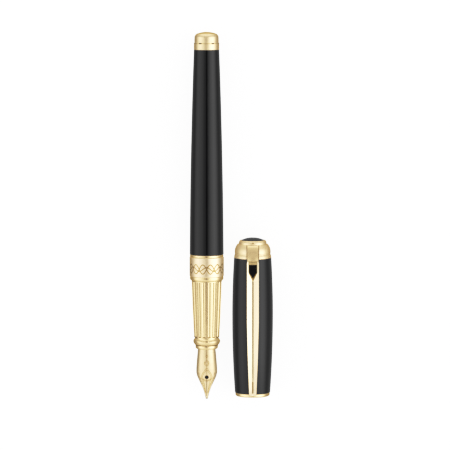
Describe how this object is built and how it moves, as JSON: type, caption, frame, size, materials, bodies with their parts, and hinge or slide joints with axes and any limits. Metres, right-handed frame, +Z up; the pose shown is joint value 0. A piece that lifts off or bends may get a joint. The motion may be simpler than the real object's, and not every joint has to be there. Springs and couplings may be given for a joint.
{
  "type": "fountain pen",
  "caption": "Fountain pen with a fluted grip and open nib, a tapered barrel that unscrews from its converter, and a clip cap lying beside it.",
  "frame": {"origin": "centre of the footprint of the pen and its cap, on the surface they lie on", "axes": "+Z up, both axes along Y: the nib points to -Y, the tail and the crown to +Y, the cap lies on the +X side"},
  "size_m": [0.029, 0.128, 0.0157],
  "materials": {
    "lacquer_black": "gloss",
    "gold": "polished",
    "nib_gold": "polished",
    "tipping_alloy": "satin",
    "feed_black": "satin",
    "brass_core": "satin",
    "converter_gold": "polished",
    "converter_clear": "gloss",
    "knob_black": "satin",
    "piston_plastic": "satin",
    "rubber_black": "matte",
    "steel": "satin",
    "liner_plastic": "satin"
  },
  "bodies": {
    "section": {"collar_band": "gold", "collar_ring": "gold", "grip": "gold", "bead_ring": "gold", "nib_ring": "gold", "section_core": "brass_core", "nib_housing": "feed_black", "nib": "nib_gold", "nib_tipping": "tipping_alloy", "feed": "feed_black", "converter_collar": "converter_gold", "converter_tube": "converter_clear", "converter_sleeve": "converter_gold"},
    "seal": {"barrel_seal": "rubber_black"},
    "trim": {"barrel_trim": "gold"},
    "barrel": {"barrel": "lacquer_black", "barrel_bush": "brass_core", "tail_ring": "gold", "tail_cap": "gold", "tail_screw": "steel"},
    "knob": {"knob": "knob_black", "spindle": "piston_plastic"},
    "piston": {"piston_seal": "rubber_black", "piston_rod": "piston_plastic"},
    "cap": {"cap_lip": "gold", "cap_shell": "lacquer_black", "cap_liner": "liner_plastic", "cap_cup": "liner_plastic", "crown_band": "gold", "crown": "gold", "crown_screw": "steel", "bezel": "gold", "crown_dome": "lacquer_black", "clip_pin": "steel", "clip_spring": "steel"},
    "clip": {"clip": "gold", "clip_inlay": "lacquer_black"}
  },
  "joints": [
    {"name": "barrel_pull", "type": "slide", "parent": "section", "child": "seal", "axis": [0, 1, 0], "range_m": [0, 0.08]},
    {"name": "barrel_unscrew", "type": "slide", "parent": "seal", "child": "trim", "axis": [0, 1, 0], "range_m": [0, 0.0045]},
    {"name": "barrel_turn", "type": "hinge", "parent": "trim", "child": "barrel", "pos_m": [-0.00857, -0.01325, 0.00596], "axis": [0, -1, 0], "range_deg": [0, 2160]},
    {"name": "knob_turn", "type": "hinge", "parent": "section", "child": "knob", "pos_m": [-0.00857, 0.03595, 0.00596], "axis": [0, 1, 0], "range_deg": [0, 2880]},
    {"name": "piston_travel", "type": "slide", "parent": "section", "child": "piston", "axis": [0, 1, 0], "range_m": [0, 0.022]},
    {"name": "cap_pull", "type": "slide", "parent": "section", "child": "cap", "axis": [0, -1, 0], "range_m": [0, 0.065]},
    {"name": "clip_lift", "type": "hinge", "parent": "cap", "child": "clip", "pos_m": [0.00743, -0.01175, 0.01175], "axis": [-1, 0, 0], "range_deg": [0, 6], "stiffness_Nm_per_rad": 0.5, "deforming": ["clip_spring"]}
  ],
  "couplings": [
    {"joint": "barrel_turn", "follows": "barrel_unscrew", "rad_per_m": 8377.6},
    {"joint": "knob_turn", "follows": "piston_travel", "rad_per_m": 2284.8}
  ]
}
